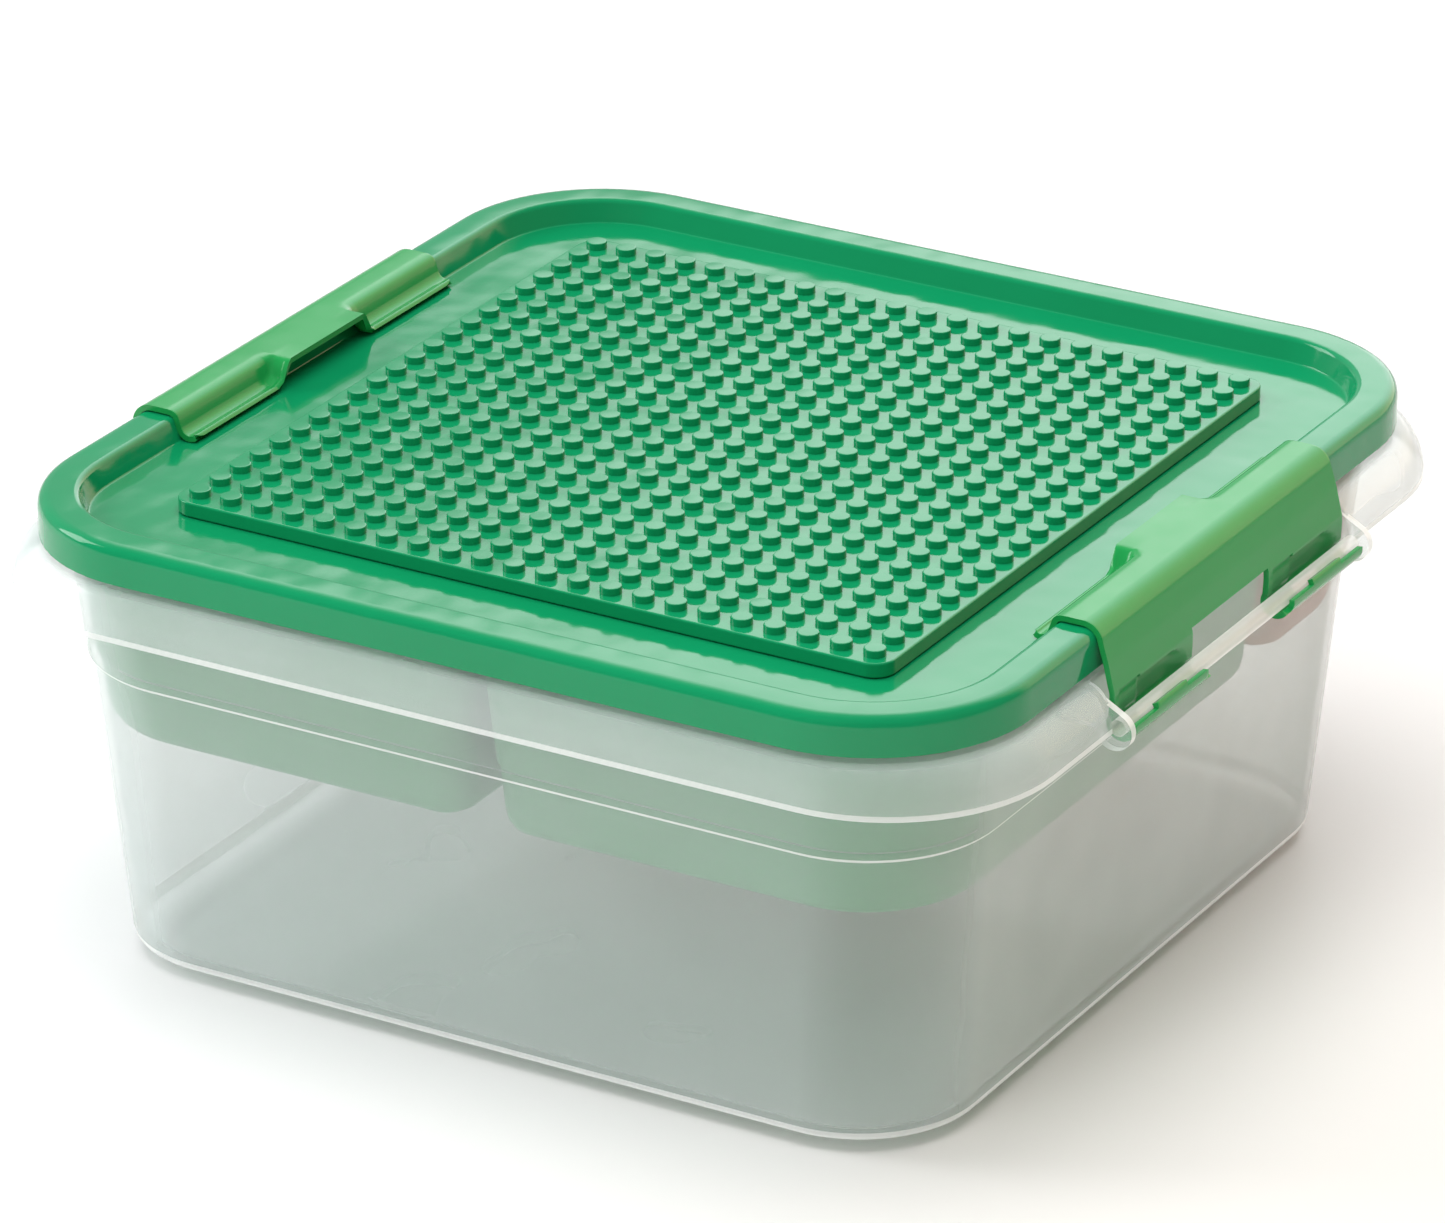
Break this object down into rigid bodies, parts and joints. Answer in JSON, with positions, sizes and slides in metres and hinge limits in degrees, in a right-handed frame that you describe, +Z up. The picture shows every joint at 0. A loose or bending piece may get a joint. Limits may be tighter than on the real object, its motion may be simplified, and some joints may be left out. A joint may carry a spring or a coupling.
{
  "type": "building block storage box",
  "caption": "Clear square storage tub with a studded green lid held by side snap latches, and lift-out sorting trays inside.",
  "frame": {"origin": "on the table, under the middle of the box", "axes": "+Z up, +X towards the right latch, -Y towards the front"},
  "size_m": [0.2616, 0.2468, 0.112],
  "materials": {
    "clear_tub": "clear moulded polypropylene, slightly hazy",
    "green_lid": "glossy moulded green",
    "green_latch": "glossy moulded green, slightly yellower",
    "milky_green_tray": "milky translucent green, satin",
    "milky_salmon_tray": "milky translucent salmon, satin"
  },
  "bodies": {
    "tub": {"bin": "clear_tub"},
    "cover": {"lid": "green_lid", "stud_plate": "green_lid"},
    "left_latch": {"latch_left": "green_latch"},
    "right_latch": {"latch_right": "green_latch"},
    "front_left_tray": {"tray_front_left": "milky_green_tray"},
    "front_right_tray": {"tray_front_right": "milky_green_tray"},
    "back_tray": {"tray_back": "milky_salmon_tray"}
  },
  "joints": [
    {"name": "lid_lift", "type": "slide", "parent": "tub", "child": "cover", "axis": [0, 0, 1], "range_m": [0, 0.0157]},
    {"name": "latch_left_swing", "type": "hinge", "parent": "tub", "child": "left_latch", "pos_m": [-0.1265, 0, 0.0898], "axis": [0, -1, 0], "range_deg": [0, 180]},
    {"name": "latch_right_swing", "type": "hinge", "parent": "tub", "child": "right_latch", "pos_m": [0.1265, 0, 0.0898], "axis": [0, 1, 0], "range_deg": [0, 180]},
    {"name": "tray_front_left_lift", "type": "slide", "parent": "tub", "child": "front_left_tray", "axis": [0, 0, 1], "range_m": [0, 0.0142]},
    {"name": "tray_front_right_lift", "type": "slide", "parent": "tub", "child": "front_right_tray", "axis": [0, 0, 1], "range_m": [0, 0.0142]},
    {"name": "tray_back_lift", "type": "slide", "parent": "tub", "child": "back_tray", "axis": [0, 0, 1], "range_m": [0, 0.0142]}
  ],
  "couplings": [
    {"joint": "latch_left_swing", "follows": "lid_lift", "rad_per_m": 200},
    {"joint": "latch_right_swing", "follows": "lid_lift", "rad_per_m": 200},
    {"joint": "tray_front_left_lift", "follows": "lid_lift", "ratio": 0.9},
    {"joint": "tray_front_right_lift", "follows": "lid_lift", "ratio": 0.9},
    {"joint": "tray_back_lift", "follows": "lid_lift", "ratio": 0.9}
  ]
}
